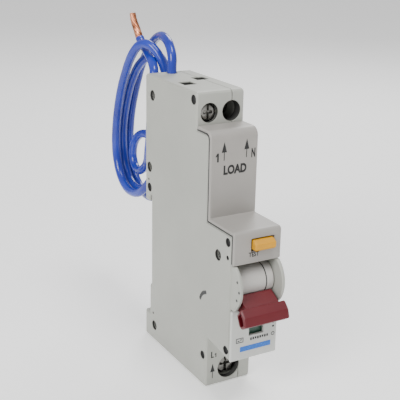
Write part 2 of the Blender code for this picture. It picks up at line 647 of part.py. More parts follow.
# ---------------------------------------------------------------- residual-current section
def sensing_toroid(epoxy):
    profile = [(3.4, 0), (6.6, 0), (7.0, 0.6), (7.0, 9.4), (6.6, 10), (3.4, 10)]
    smooth(turned("sensing_toroid", profile, point(0, 20.0, 66.0), UP, epoxy, 32, True))


def conductors(brown, blue):
    line = smooth_route([(-4.2, 25.6, 87.0), (-3.8, 24.0, 83.5), (-1.6, 20.6, 79.0), (-1.5, 20.0, 72.0),
                         (-1.6, 20.5, 64.0), (-3.0, 24.0, 60.5), (-3.4, 29.0, 59.0)], 3.0)
    tube("line_conductor", line, 1.1, brown, 2)
    neutral = smooth_route([(4.1, 19.6, 87.0), (3.6, 19.6, 83.0), (1.7, 19.6, 78.5), (1.5, 20.0, 72.0),
                            (1.5, 19.0, 64.0), (0.6, 13.0, 62.6), (0.2, 9.9, 66.0), (0.0, 9.9, 74.0),
                            (0.0, 9.9, 90.0), (0.0, 9.7, 96.5)], 3.0)
    tube("neutral_conductor", neutral, 1.1, blue, 2)


def electronics(board, black, tan):
    box("circuit_board", (-7.0, 7.0), (28.6, 29.8), (61.0, 86.5), board)
    smooth(rod("board_capacitor", point(-3.6, 30.1, 81.0), FORWARD, 7.0, 2.8, black, 20))
    smooth(rod("board_varistor", point(3.4, 30.1, 81.0), FORWARD, 2.6, 3.3, tan, 20))
    box("board_chip", (1.6, 6.4), (30.1, 31.8), (64.0, 74.5), black)
    smooth(rod("test_resistor", point(5.6, 48.5, 52.6), UP, 5.2, 1.2, tan, 16))


def trip_relay(shell, steel):
    """Electromagnet that trips the switch on a residual current, with its plunger pointing down."""
    relay = box("relay_body", (-6.8, 0.8), (30.4, 42.0), (63.5, 75.0), shell)
    boolean(relay, rod("relay_body.bore", point(-3.0, 36.5, 60.0), UP, 9.0, 1.5))
    profile = [(0, 0), (0.9, 0.2), (0.9, 6.4), (1.2, 6.4), (1.2, 10.5), (0, 10.5)]
    plunger = smooth(turned("relay_plunger", profile, point(-3.0, 36.5, 57.6), UP, steel, 16))
    move_origin(plunger, -3.0, 36.5, 57.6)


def test_circuit(yellow, brass):
    """Push button with a stepped stem, and the leaf contact that it closes."""
    outline = rounded([(58.6, 55.0), (63.4, 55.0), (64.2, 55.6), (64.2, 57.4, 0.5), (62.6, 58.4),
                       (58.6, 58.4)], 3)
    button = prism("test_button", outline, -2.0, 5.8, yellow, 0.4, 0.4)
    move_origin(button, 1.9, 58.6, 56.7)
    leaf = [(56.1, 50.4), (56.7, 50.4), (56.9, 55.6), (56.9, 58.0), (56.3, 58.0), (56.3, 55.8)]
    prism("test_contact", leaf, 3.0, 5.0, brass)


# ---------------------------------------------------------------- rail clip
def rail_clip(plastic, steel):
    outline = [(0.4, 1.0), (3.2, 1.0), (3.2, 22.4), (1.8, 23.4), (0.4, 23.4)]
    clip = prism("rail_clip", outline, -4.3, 4.3, plastic)
    boolean(clip, box("rail_clip.window", (-2.3, 2.3), (-1, 5), (4.0, 14.4)))
    boolean(clip, box("rail_clip.slot", (-2.0, 2.0), (-1, 5), (1.9, 3.0)))
    move_origin(clip, 0, 1.8, 1.0)
    helix("clip_spring", (0.0, 1.9, 6.5), 7.4, 1.0, 0.22, 4, steel)


# ---------------------------------------------------------------- neutral lead
def neutral_lead(blue, copper):
    route = smooth_route(LEAD_ROUTE, LEAD_STEP)
    tube("neutral_lead", route, LEAD_RADIUS, blue, 2)
    end = smooth_route(STRIPPED_END, 2.0)
    flare = [1.0 + 0.25 * math.sin(math.pi * (k / (len(end) - 1)) ** 0.6) for k in range(len(end))]
    tube("stripped_end", end, STRIPPED_RADIUS, copper, 2, flare)


def main():
    clear_scene()
    case = material("case_plastic", (0.50, 0.50, 0.46), 0.45)
    cover = material("cover_plastic", (0.47, 0.44, 0.41), 0.45)
    label = material("label_plastic", (0.62, 0.62, 0.58), 0.42)
    red = material("toggle_red", (0.20, 0.02, 0.03), 0.38)
    drum = material("drum_plastic", (0.52, 0.51, 0.48), 0.42)
    yellow = material("button_yellow", (0.80, 0.42, 0.02), 0.38)
    green = material("flag_green", (0.02, 0.09, 0.05), 0.4)
    inner = material("inner_plastic", (0.08, 0.08, 0.09), 0.5)
    steel = material("plated_steel", (0.55, 0.55, 0.54), 0.32, 1.0)
    brass = material("brass", (0.60, 0.45, 0.20), 0.35, 1.0)
    copper = material("copper", (0.72, 0.36, 0.22), 0.35, 1.0)
    board = material("board_green", (0.03, 0.16, 0.07), 0.5)
    epoxy = material("winding_epoxy", (0.10, 0.14, 0.30), 0.4)
    tan = material("ceramic_tan", (0.50, 0.33, 0.16), 0.5)
    blue = material("lead_blue", (0.05, 0.09, 0.42), 0.28)
    brown = material("wire_brown", (0.16, 0.07, 0.03), 0.35)

    openings = case_openings("case.openings")
    left_shell(case, openings)
    right_shell(case, openings)
    front_cover(cover)
    label_plate(label)
    rivets(steel)
    smooth(rod("toggle_pin", point(-8.0, *PIVOT), ALONG_X, 16.0, PIN_RADIUS, steel))
    toggle_lever(red)
    toggle_drum(drum)
    reset_drum(drum)
    crank_link(steel)
    flag_indicator(green)
    contact_arm(copper, steel)
    fixed_contact(copper)
    arc_chute(steel)
    solenoid(copper, steel)
    trip_lever(inner, steel)
    thermal_release(brass, brass)
    braid(copper)
    terminals(steel, brass)
    sensing_toroid(epoxy)
    conductors(brown, blue)
    electronics(board, inner, tan)
    trip_relay(inner, steel)
    test_circuit(yellow, brass)
    rail_clip(inner, steel)
    neutral_lead(blue, copper)


main()
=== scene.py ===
"""Looks of a one-module residual current device with a coiled neutral lead.

Sizes are in millimetres, and MM turns them into metres. A place is either x across, forward of the rail
seat and up from the rail centre, or a depth from the back plane and a height above the base.
"""

import json
import math

import bmesh
import bpy
from mathutils import Matrix, Vector

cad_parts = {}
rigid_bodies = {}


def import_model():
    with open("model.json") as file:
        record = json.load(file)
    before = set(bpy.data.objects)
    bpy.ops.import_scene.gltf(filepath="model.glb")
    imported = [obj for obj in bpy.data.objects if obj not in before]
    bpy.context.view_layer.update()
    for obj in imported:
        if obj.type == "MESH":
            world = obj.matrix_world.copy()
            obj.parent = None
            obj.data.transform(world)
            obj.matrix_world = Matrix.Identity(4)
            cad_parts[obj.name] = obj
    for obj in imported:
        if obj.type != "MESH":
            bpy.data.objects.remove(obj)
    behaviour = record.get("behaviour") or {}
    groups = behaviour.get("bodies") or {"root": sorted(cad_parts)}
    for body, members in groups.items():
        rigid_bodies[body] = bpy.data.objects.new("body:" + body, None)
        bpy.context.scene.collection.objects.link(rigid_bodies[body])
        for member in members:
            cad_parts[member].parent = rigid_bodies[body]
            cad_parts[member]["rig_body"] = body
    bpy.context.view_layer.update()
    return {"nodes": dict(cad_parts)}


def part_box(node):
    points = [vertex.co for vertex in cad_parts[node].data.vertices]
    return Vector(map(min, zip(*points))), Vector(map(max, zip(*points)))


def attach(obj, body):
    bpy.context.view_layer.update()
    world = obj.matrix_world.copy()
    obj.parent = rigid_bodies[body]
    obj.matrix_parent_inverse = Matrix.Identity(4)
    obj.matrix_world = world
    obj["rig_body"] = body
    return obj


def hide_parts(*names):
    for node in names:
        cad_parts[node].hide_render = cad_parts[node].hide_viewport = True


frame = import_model()
MM = 0.001
SEAT = 4.5              # the rail seat lies this far forward of the back plane
RAIL = 39.3             # the rail centre stands this far above the base

# camera
TARGET = (-2.96, 25.5, 22.87)
AZIMUTH, ELEVATION, ROLL = -29.73, 18.47, 1.13
DISTANCE = 297.8
LENS = 78.6
SENSOR_WIDTH = 36.0
CLIP_NEAR, CLIP_FAR = 0.01, 20.0    # metres

# lights: name, place, width in metres, watts, point that it aims at
LIGHTS = [
    ("key", (-560, 300, 420), 0.35, 4.6, (0, 20, 15)),
    ("overhead", (60, 260, 760), 0.30, 4.0, (0, 20, 40)),
    ("rim", (380, -380, 420), 0.30, 2.0, (0, 20, 15)),
]
WORLD_STRENGTH = 0.62
FLOOR_REACH = 1.6       # metres from the middle of the floor to its edges
FLOOR_GAP = 0.1
FLOOR_GLOW = 0.34

# faces that carry printing: distance forward of the rail seat
LOAD_FACE = 42.1
NOSE_FACE = 57.6
PRINT_LIFT = 0.02
PRINT_THICK = 0.03
CAPITAL_SHARE = 0.70    # height of a capital in the font's size
ARROW_HEAD = 0.56       # length of an arrow's head in the arrow's length
ARROW_STEM = 0.26

HALF_WIDTH = 8.9
SKIN_GAP = 0.01         # clearance between a painted-shade lining and the plastic behind it

# finished copies of CAD nodes: name, node, material slot, edge radius, steps in the radius
REFINED = [
    ("case_left", "left_shell", "case_plastic", 0.22, 2),
    ("case_right", "right_shell", "case_plastic", 0.22, 2),
    ("cover_skin", "front_cover", "cover_plastic", 0.30, 3),
    ("label_face", "label_plate", "label_plastic", 0.18, 2),
    ("toggle_grip", "toggle_lever", "toggle_red", 0.28, 3),
    ("button_cap", "test_button", "button_yellow", 0.30, 3),
    ("flag_slide", "flag_indicator", "flag_green", 0.12, 2),
    ("clip_slide", "rail_clip", "inner_plastic", 0.15, 2),
]

# blind holes in the left side, lined with painted shade: depth, height, radius, depth of the floor
# the last six stand side by side and make the curved slot
SIDE_BORES = [
    (35.0, 98.4, 1.68, 0.9), (3.3, 60.0, 1.68, 0.9), (2.6, 62.9, 0.48, 0.9), (58.6, 57.6, 1.48, 0.9),
    (58.6, 52.4, 0.78, 0.9), (59.0, 20.2, 1.48, 0.9), (44.2, 11.4, 1.48, 0.9), (6.3, 10.9, 0.48, 0.9),
    (41.9, 31.9, 0.74, 0.20), (42.3, 32.8, 0.74, 0.19), (42.9, 33.6, 0.74, 0.20), (43.6, 34.3, 0.74, 0.19),
    (44.4, 34.8, 0.74, 0.20), (45.3, 35.2, 0.74, 0.19),
]
BORE_EDGE = 0.12        # the painted-shade lining of a hole ends this far inside its mouth
BORE_LEAST = 0.06       # least height of a lining
BORE_LINING = 0.06      # thickness of the lining's wall
BORE_FLOORS = (0.05, 0.04)      # thickness of its floor at the wall and in the middle

# screw wells lined with painted shade: name, x, height, radius, depth of the face, reach of the painted
# shade
SCREW_WELLS = [("well_load", -4.2, 94.1, 3.28, 37.2, 0.9), ("well_neutral", 4.1, 94.1, 3.48, 37.2, 3.4),
               ("well_line", 0.2, 6.0, 4.38, 46.6, 1.9)]
WELL_LINING = 0.1
WELL_SET_BACK = 0.35    # the painted shade starts this far behind the face
# cable entries on top, lined with painted shade: name, x range, depth range
CABLE_ENTRIES = [("entry_load", (-6.58, -1.82), (19.62, 24.78)),
                 ("entry_neutral", (1.62, 6.38), (13.62, 18.58))]
ENTRY_HEIGHTS = (98.6, 100.75)
ENTRY_LINING = 0.08
ENTRY_FLOOR = 0.1

# painted shadow in the joint between the cover and the case: depth, height
SEAM_LINE = [(37.6, 89.05), (43.6, 89.05), (44.9, 88.5), (45.35, 87.3), (45.35, 60.25),
             (60.85, 60.25), (60.85, 51.0)]
SEAM_INSET = 0.22
SEAM_RADIUS = 0.21

# painted shadow in the groove between the two drums: depth, distance inside the drum's rim, width
SPLIT_DEPTH, SPLIT_INSET, SPLIT_WIDE = 1.2, 0.06, 0.28

# rivets: the rolled end as radius and distance from the end, then the rim as inset and distance
RIVET_COUNT = 4
RIVET_ROLL = [(0, 1.3), (0.62, 1.25), (0.70, 0.35), (0.85, 0.08), (1.05, 0.0), (1.30, 0.06)]
RIVET_RIM = [(0.0, 0.36), (0.0, 0.75), (0.35, 0.85)]
# painted shade on the wall round each rivet end: radius, thickness, height, width at the mouth, depth of
# its foot
RECESS_RADIUS, RECESS_WALL, RECESS_TALL, RECESS_MOUTH, RECESS_FLOOR = 1.86, 0.10, 0.68, 0.04, 0.80

# terminal screws: name, node, depth of the head, half width of the slots, reach of the cross slot
SCREWS = [
    ("load_screw_head", "load_terminal_screw", 2.7, 0.42, 1.7),
    ("neutral_screw_head", "neutral_terminal_screw", 2.7, 0.42, 1.7),
    ("line_screw_head", "line_terminal_screw", 3.0, 0.50, 2.2),
]
SHANK_SHARE = 0.56      # radius of the thread in the head's radius
THREAD_PITCH = 0.5
THREAD_DEPTH = 0.25
THREAD_START = 0.3
HEAD_CHAMFER = 0.2
HEAD_CROWN = [(0, 0.55), (0.12, 0.28), (0.4, 0.08), (0.7, 0)]   # inset from the edge, distance from the top
HEAD_EDGE = 0.07        # radius on the edges of the head and its slots
SLOT_DEPTH, CROSS_DEPTH = 1.1, 0.9
SLOT_REACH, SLOT_ABOVE = 5, 2   # the slot's cutter passes the head by these on each side and in front

# painted shade of three short moulded tick marks on the outside of the left cheek: forward and up
CHEEK_SIDE = -8.5
CHEEK_MARKS = [(59.7, 6.8), (60.9, 3.7), (59.7, 0.6)]
MARK_PROFILE = [(0, 0), (0.34, 0), (0.46, 0.03), (0.46, 0.06), (0, 0.06)]

# neutral lead: x, forward, up
LEAD_RADIUS = 1.65
LEAD_UNEVEN = 0.012     # small swell of the insulation along its length
LEAD_STEPS = 12         # points in each span of the route
LEAD_ROUTE = [
    (0.0, -1.5, 58.6), (0.0, -1.5, 63.2), (0.4, -2.3, 67.5), (1.0, -5.7, 71.1), (2.0, -10.9, 72.7),
    (3.0, -16.3, 72.7), (4.0, -22.9, 70.5), (4.4, -29.5, 65.7), (4.4, -35.3, 58.9), (4.2, -39.7, 50.3),
    (4.0, -43.4, 40.7), (4.0, -45.5, 31.8), (4.0, -45.6, 23.3), (3.9, -42.7, 15.3), (3.8, -36.0, 9.5),
    (3.5, -27.0, 7.7), (3.2, -18.0, 11.2), (2.9, -11.5, 19.3), (2.7, -8.7, 29.7), (2.4, -8.3, 41.7),
    (2.0, -8.5, 53.2), (1.3, -9.7, 61.3), (-0.2, -12.5, 67.1), (-2.2, -15.9, 69.9), (-3.8, -20.3, 69.1),
    (-4.5, -25.3, 64.7), (-4.4, -30.9, 57.7), (-4.2, -36.0, 49.5), (-4.1, -39.9, 39.2), (-4.1, -41.6, 28.8),
    (-4.1, -40.5, 20.5), (-4.2, -36.1, 14.1), (-4.2, -29.3, 10.9), (-4.0, -20.9, 12.1), (-3.2, -14.3, 17.3),
    (-1.6, -10.3, 24.5), (-0.8, -10.7, 32.7), (0.8, -12.5, 41.3), (3.2, -13.1, 50.7), (4.5, -14.3, 58.7),
    (4.2, -17.7, 63.9), (3.2, -22.1, 65.3), (1.8, -26.5, 63.1), (0.6, -31.1, 58.9), (0.0, -35.9, 51.9),
    (0.0, -40.1, 43.7), (0.0, -43.1, 34.7), (0.0, -43.9, 25.9), (0.0, -42.1, 18.1), (-0.1, -37.3, 12.7),
    (-0.3, -30.1, 10.9), (-0.2, -22.7, 12.9), (0.6, -17.1, 18.1), (1.6, -15.3, 25.1), (2.1, -18.7, 31.1),
    (2.1, -25.3, 33.5), (2.2, -32.1, 32.1), (2.2, -37.3, 27.9), (2.1, -38.9, 22.7), (1.9, -36.7, 18.5),
    (1.5, -32.3, 17.4), (0.9, -27.3, 19.3), (0.0, -22.3, 22.5), (-1.6, -17.7, 25.9), (-3.2, -13.7, 30.7),
    (-4.1, -10.7, 37.1), (-4.6, -9.1, 43.7), (-4.6, -8.5, 50.7), (-4.1, -8.1, 56.7), (-3.2, -9.3, 61.3),
    (-2.2, -12.7, 63.9), (-1.1, -17.3, 65.5), (-0.2, -22.3, 67.1), (-0.1, -25.5, 68.9), (-0.2, -27.3, 70.7),
]
BARE_END = [
    (-0.3, -27.7, 71.3), (-0.5, -29.2, 73.8), (-0.8, -30.9, 76.5), (-0.9, -31.9, 79.3),
]
BARE_STEPS = 6
CORE_RADIUS = 0.62
STRANDS = 9
STRAND_RADIUS = 0.36
STRAND_REACH = 0.80     # distance of each wire from the middle of the bundle
STRAND_TURNS = 0.75
STRAND_SPREAD = 0.28    # the twist opens out by this share in the middle
THIN_ROUND = 4          # roundness of the tubes of the bare wires


# ---------------------------------------------------------------- geometry tools
def at(x, forward, up):
    """A point in metres from millimetres across, forward of the rail seat and above the rail centre."""
    return Vector((x * MM, -forward * MM, up * MM))


def base(depth, height):
    """Forward and up of a depth from the back plane and a height above the base."""
    return depth - SEAT, height - RAIL


def node_span(node):
    """Low and high corners of a CAD node in millimetres across, forward and up."""
    low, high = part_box(node)
    return (low.x / MM, -high.y / MM, low.z / MM), (high.x / MM, -low.y / MM, high.z / MM)


def put(name, mesh, finish, body):
    """Adds a piece that rides on a body, with one finish."""
    piece = bpy.data.objects.new(name, mesh)
    bpy.context.scene.collection.objects.link(piece)
    piece.data.materials.clear()
    piece.data.materials.append(finish)
    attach(piece, body)
    return piece


def mesh_of(name, bm):
    """A mesh from a bmesh, with doubled points merged and normals outwards."""
    bmesh.ops.remove_doubles(bm, verts=bm.verts[:], dist=1e-7)
    bmesh.ops.recalc_face_normals(bm, faces=bm.faces[:])
    mesh = bpy.data.meshes.new(name)
    bm.to_mesh(mesh)
    bm.free()
    return mesh


def shade(piece, degrees=35):
    """Smooth shading with the edges over an angle kept sharp."""
    mesh = piece.data
    mesh.polygons.foreach_set("use_smooth", [True] * len(mesh.polygons))
    mesh.set_sharp_from_angle(angle=math.radians(degrees))
    return piece


def soften(piece, width, segments=2, degrees=28):
    """A small moulded radius on every edge over an angle, with even shading on the flats."""
    bevel = piece.modifiers.new("edge_radius", "BEVEL")
    bevel.width = width * MM
    bevel.segments = segments
    bevel.limit_method = "ANGLE"
    bevel.angle_limit = math.radians(degrees)
    bevel.use_clamp_overlap = True
    piece.data.polygons.foreach_set("use_smooth", [True] * len(piece.data.polygons))
    even = piece.modifiers.new("even_shading", "WEIGHTED_NORMAL")
    even.keep_sharp = True
    even.weight = 100
    return piece


def refined(name, node, finish, width, segments=2):
    """A finished copy of a CAD node with its facets merged into clean faces and its edges radiused."""
    bm = bmesh.new()
    bm.from_mesh(frame["nodes"][node].data)
    bmesh.ops.remove_doubles(bm, verts=bm.verts[:], dist=2e-6)
    bmesh.ops.dissolve_limit(bm, angle_limit=math.radians(0.6), verts=bm.verts[:], edges=bm.edges[:])
    piece = put(name, mesh_of(name, bm), finish, frame["nodes"][node]["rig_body"])
    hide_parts(node)
    return soften(piece, width, segments)


def lathe(bm, profile, centre, axis, sides=40):
    """Adds the surface that a profile of (radius, distance) sweeps about an axis.

    The profile is in millimetres and the centre that the axis goes through is in metres.
    """
    turn = Vector((0, 0, 1)).rotation_difference(Vector(axis)).to_matrix().to_4x4()
    placed = Matrix.Translation(centre) @ turn
    rings = []
    for radius, along in profile:
        ring = []
        for k in range(sides if radius > 0 else 1):
            angle = 2 * math.pi * k / sides
            spot = Vector((radius * math.cos(angle), radius * math.sin(angle), along)) * MM
            ring.append(bm.verts.new(placed @ spot))
        rings.append(ring)
    for low, high in zip(rings, rings[1:]):
        for k in range(sides):
            j = (k + 1) % sides
            corners = [low[k % len(low)], low[j % len(low)], high[j % len(high)], high[k % len(high)]]
            unique = list(dict.fromkeys(corners))
            if len(unique) > 2:
                bm.faces.new(unique)


def prism(bm, outline, start, end, across):
    """Adds a closed prism: the outline's points go through across(u, v, w), with w from start to end."""
    low = [bm.verts.new(across(u, v, start)) for u, v in outline]
    high = [bm.verts.new(across(u, v, end)) for u, v in outline]
    bm.faces.new(low)
    bm.faces.new(list(reversed(high)))
    for i in range(len(outline)):
        j = (i + 1) % len(outline)
        bm.faces.new((low[j], low[i], high[i], high[j]))


def smooth_path(route, per_span):
    """Points read from the Catmull-Rom curve through a route."""
    spots = [Vector(p) for p in (route[0], *route, route[-1])]
    path = []
    for a, b, c, d in zip(spots, spots[1:], spots[2:], spots[3:]):
        for k in range(per_span):
            t = k / per_span
            path.append(0.5 * (2 * b + (c - a) * t + (2 * a - 5 * b + 4 * c - d) * t * t
                               + (3 * b - a - 3 * c + d) * t ** 3))
    path.append(spots[-1])
    return path


def tube(name, path, radius, finish, body, swell=None, roundness=8):
    """A round tube along points in millimetres; swell scales the radius at each point."""
    curve = bpy.data.curves.new(name, "CURVE")
    curve.dimensions = "3D"
    curve.bevel_depth = radius * MM
    curve.bevel_resolution = roundness
    curve.use_fill_caps = True
    spline = curve.splines.new("POLY")
    spline.points.add(len(path) - 1)
    for k, spot in enumerate(path):
        spline.points[k].co = (*at(*spot), 1.0)
        spline.points[k].radius = swell[k] if swell else 1.0
    spline.use_smooth = True
    return put(name, curve, finish, body)


# ---------------------------------------------------------------- materials
class Shader:
    """A small builder of one procedural material."""

    def __init__(self, name, roughness, metallic=0.0, **sockets):
        self.material = bpy.data.materials.new(name)
        self.material.use_nodes = True
        self.nodes = self.material.node_tree.nodes
        self.links = self.material.node_tree.links
        self.bsdf = self.nodes["Principled BSDF"]
        self.bsdf.inputs["Roughness"].default_value = roughness
        self.bsdf.inputs["Metallic"].default_value = metallic
        for key, value in sockets.items():
            self.bsdf.inputs[key.replace("_", " ")].default_value = value
        self.place = self.nodes.new("ShaderNodeTexCoord").outputs["Object"]

    def noise(self, scale, detail=4.0, roughness=0.55, stretch=None):
        """Noise over the object, with its scale in cells per metre."""
        source = self.place
        if stretch:
            mapping = self.nodes.new("ShaderNodeMapping")
            mapping.inputs["Scale"].default_value = stretch
            self.links.new(self.place, mapping.inputs["Vector"])
            source = mapping.outputs["Vector"]
        node = self.nodes.new("ShaderNodeTexNoise")
        node.inputs["Scale"].default_value = scale
        node.inputs["Detail"].default_value = detail
        node.inputs["Roughness"].default_value = roughness
        self.links.new(source, node.inputs["Vector"])
        return node.outputs["Fac"]

    def ramp(self, source, stops):
        """Colours or greys at places along a value."""
        node = self.nodes.new("ShaderNodeValToRGB")
        ramp = node.color_ramp
        while len(ramp.elements) < len(stops):
            ramp.elements.new(0.5)
        for element, (spot, colour) in zip(ramp.elements, stops):
            element.position = spot
            grey = isinstance(colour, float)
            element.color = (colour, colour, colour, 1) if grey else (*colour, 1)
        self.links.new(source, node.inputs["Fac"])
        return node.outputs["Color"]

    def mix(self, factor, first, second, kind="MIX"):
        """A blend of two colours; each input is a socket, a number or a colour."""
        node = self.nodes.new("ShaderNodeMix")
        node.data_type = "RGBA"
        node.blend_type = kind
        inputs = node.inputs["Factor"], node.inputs[6], node.inputs[7]
        for socket, value in zip(inputs, (factor, first, second)):
            if isinstance(value, bpy.types.NodeSocket):
                self.links.new(value, socket)
            elif isinstance(value, float):
                socket.default_value = value
            else:
                socket.default_value = (*value, 1)
        return node.outputs[2]

    def colour(self, source):
        """Base colour from a socket."""
        self.links.new(source, self.bsdf.inputs["Base Color"])

    def rough(self, source, low, high):
        """Roughness that runs from low to high with a value."""
        node = self.nodes.new("ShaderNodeMapRange")
        node.inputs["To Min"].default_value = low
        node.inputs["To Max"].default_value = high
        self.links.new(source, node.inputs["Value"])
        self.links.new(node.outputs["Result"], self.bsdf.inputs["Roughness"])

    def bump(self, source, strength, distance, below=None):
        """Height from a value, in millimetres of relief."""
        node = self.nodes.new("ShaderNodeBump")
        node.inputs["Strength"].default_value = strength
        node.inputs["Distance"].default_value = distance * MM
        self.links.new(source, node.inputs["Height"])
        if below:
            self.links.new(below, node.inputs["Normal"])
        self.links.new(node.outputs["Normal"], self.bsdf.inputs["Normal"])
        return node.outputs["Normal"]


def moulded(name, colour, roughness, grain=2600.0, relief=0.02, dirt=0.10, tint=0.05, **sockets):
    """Moulded plastic: spark-eroded grain, faint flow tint, rubbed patches and dust specks."""
    made = Shader(name, roughness, **sockets)
    dark = tuple(c * (1 - tint) for c in colour)
    light = tuple(min(1.0, c * (1 + tint)) for c in colour)
    grime = tuple(c * (1 - dirt * 2.2) for c in colour)
    flow = made.ramp(made.noise(38.0, detail=3.0), [(0.32, dark), (0.68, light)])
    specks = made.ramp(made.noise(950.0, detail=2.0, roughness=0.5), [(0.24, 1.0), (0.33, 0.0)])
    cover = made.mix(1.0, specks, (dirt, dirt, dirt), kind="MULTIPLY")
    made.colour(made.mix(cover, flow, grime))
    made.rough(made.noise(120.0, detail=5.0), low=roughness - 0.07, high=roughness + 0.09)
    lines = made.noise(420.0, detail=6.0, roughness=0.7, stretch=(1.0, 0.16, 1.0))
    scratches = made.bump(lines, strength=0.18, distance=relief)
    sparked = made.noise(grain, detail=2.0, roughness=0.45)
    made.bump(sparked, strength=0.55, distance=relief, below=scratches)
    return made.material


def plated(name, colour, roughness, tarnish=0.35):
    """Plated or bare metal: fine drawn lines, uneven gloss and darker tarnish in patches."""
    made = Shader(name, roughness, metallic=1.0)
    dull = tuple(c * (1 - tarnish) for c in colour)
    made.colour(made.ramp(made.noise(210.0, detail=5.0, roughness=0.6), [(0.30, dull), (0.62, colour)]))
    made.rough(made.noise(340.0, detail=4.0), low=roughness - 0.07, high=roughness + 0.14)
    drawn = made.noise(1500.0, detail=3.0, roughness=0.6, stretch=(1.0, 6.0, 1.0))
    lines = made.bump(drawn, strength=0.35, distance=0.015)
    made.bump(made.noise(260.0, detail=3.0), strength=0.20, distance=0.04, below=lines)
    return made.material


def insulation(name):
    """Glossy PVC insulation: slight colour drift, extrusion lines, rubbed dull patches."""
    made = Shader(name, 0.2, IOR=1.48)
    deep, bright = (0.008, 0.016, 0.22), (0.022, 0.048, 0.40)
    made.colour(made.ramp(made.noise(60.0, detail=4.0), [(0.30, deep), (0.70, bright)]))
    made.rough(made.noise(160.0, detail=5.0), low=0.14, high=0.30)
    waves = made.bump(made.noise(150.0, detail=2.0), strength=0.25, distance=0.10)
    made.bump(made.noise(1400.0, detail=3.0), strength=0.22, distance=0.02, below=waves)
    return made.material


def copper_wire(name):
    """Bare copper: bright drawn wire with brown oxide and dark heat marks."""
    made = Shader(name, 0.3, metallic=1.0)
    tones = [(0.30, (0.07, 0.020, 0.010)), (0.44, (0.36, 0.13, 0.06)), (0.60, (0.78, 0.36, 0.21)),
             (0.78, (0.92, 0.54, 0.36))]
    made.colour(made.ramp(made.noise(330.0, detail=6.0, roughness=0.65), tones))
    made.rough(made.noise(500.0, detail=4.0), low=0.22, high=0.48)
    made.bump(made.noise(1600.0, detail=3.0), strength=0.35, distance=0.03)
    return made.material


def ink(name, colour):
    """Pad-printed ink: slightly uneven cover with tiny pinholes."""
    made = Shader(name, 0.5)
    faded = tuple(min(1.0, c * 1.4 + 0.012) for c in colour)
    made.colour(made.ramp(made.noise(1800.0, detail=4.0, roughness=0.6), [(0.30, faded), (0.48, colour)]))
    made.rough(made.noise(700.0, detail=3.0), low=0.42, high=0.60)
    made.bump(made.noise(2600.0, detail=2.0), strength=0.30, distance=0.01)
    return made.material


def floor_finish(name):
    """Pale matt board that gives off a little light of its own."""
    made = Shader(name, 0.6, Emission_Color=(1, 1, 1, 1), Emission_Strength=FLOOR_GLOW)
    tones = [(0.35, (0.86, 0.86, 0.86)), (0.65, (0.89, 0.89, 0.885))]
    made.colour(made.ramp(made.noise(3.0, detail=3.0), tones))
    made.rough(made.noise(9.0, detail=3.0), low=0.55, high=0.7)
    made.bump(made.noise(900.0, detail=2.0), strength=0.08, distance=0.02)
    return made.material


# ---------------------------------------------------------------- camera, light, floor
def make_camera():
    """The camera looks at the device, turned a little about its own line of sight."""
    azimuth, elevation, roll = (math.radians(a) for a in (AZIMUTH, ELEVATION, ROLL))
    back = Vector((math.sin(azimuth) * math.cos(elevation), -math.cos(azimuth) * math.cos(elevation),
                   math.sin(elevation)))
    side = Vector((0, 0, 1)).cross(back).normalized()
    above = back.cross(side)
    right = math.cos(roll) * side + math.sin(roll) * above
    up = math.cos(roll) * above - math.sin(roll) * side
    camera = bpy.data.objects.new("camera", bpy.data.cameras.new("camera"))
    bpy.context.scene.collection.objects.link(camera)
    camera.matrix_world = Matrix.Translation(at(*TARGET) + back * DISTANCE * MM) @ Matrix(
        (right, up, back)).transposed().to_4x4()
    camera.data.lens = LENS
    camera.data.sensor_width = SENSOR_WIDTH
    camera.data.clip_start, camera.data.clip_end = CLIP_NEAR, CLIP_FAR
    bpy.context.scene.camera = camera


def area_light(name, spot, size, watts, aim):
    """A round soft light at a spot, turned to a point."""
    light = bpy.data.objects.new(name, bpy.data.lights.new(name, "AREA"))
    light.data.shape = "DISK"
    light.data.size = size
    light.data.energy = watts
    light.location = at(*spot)
    light.rotation_euler = (at(*aim) - light.location).to_track_quat("-Z", "Y").to_euler()
    bpy.context.scene.collection.objects.link(light)


def make_stage():
    """An even pale world, three lights and a floor just under the case."""
    world = bpy.data.worlds.new("studio")
    world.use_nodes = True
    background = world.node_tree.nodes["Background"]
    background.inputs["Color"].default_value = (1, 1, 1, 1)
    background.inputs["Strength"].default_value = WORLD_STRENGTH
    bpy.context.scene.world = world
    for light in LIGHTS:
        area_light(*light)
    bm = bmesh.new()
    bmesh.ops.create_grid(bm, x_segments=8, y_segments=8, size=FLOOR_REACH)
    floor = bpy.data.objects.new("floor", mesh_of("floor", bm))
    floor.location = at(0, 0, -RAIL - FLOOR_GAP)
    floor.data.materials.append(floor_finish("floor_pale"))
    bpy.context.scene.collection.objects.link(floor)


# ---------------------------------------------------------------- neutral lead
def strand(path, index, finish):
    """One wire of the twisted bundle round a path."""
    offset, swell = [], []
    last = len(path) - 1
    for k, spot in enumerate(path):
        ahead = (path[min(k + 1, last)] - path[max(k - 1, 0)]).normalized()
        side = ahead.cross(Vector((0, 1, 0))).normalized()
        over = ahead.cross(side)
        along = k / last
        angle = 2 * math.pi * (index / STRANDS + along * STRAND_TURNS)
        spread = 1 + STRAND_SPREAD * math.sin(math.pi * along ** 0.6)
        radius = STRAND_REACH * spread
        offset.append(spot + radius * (math.cos(angle) * side + math.sin(angle) * over))
        swell.append(spread ** 0.5)
    name = f"bare_strand_{index + 1}"
    return tube(name, offset, STRAND_RADIUS, finish, "housing", swell, THIN_ROUND)


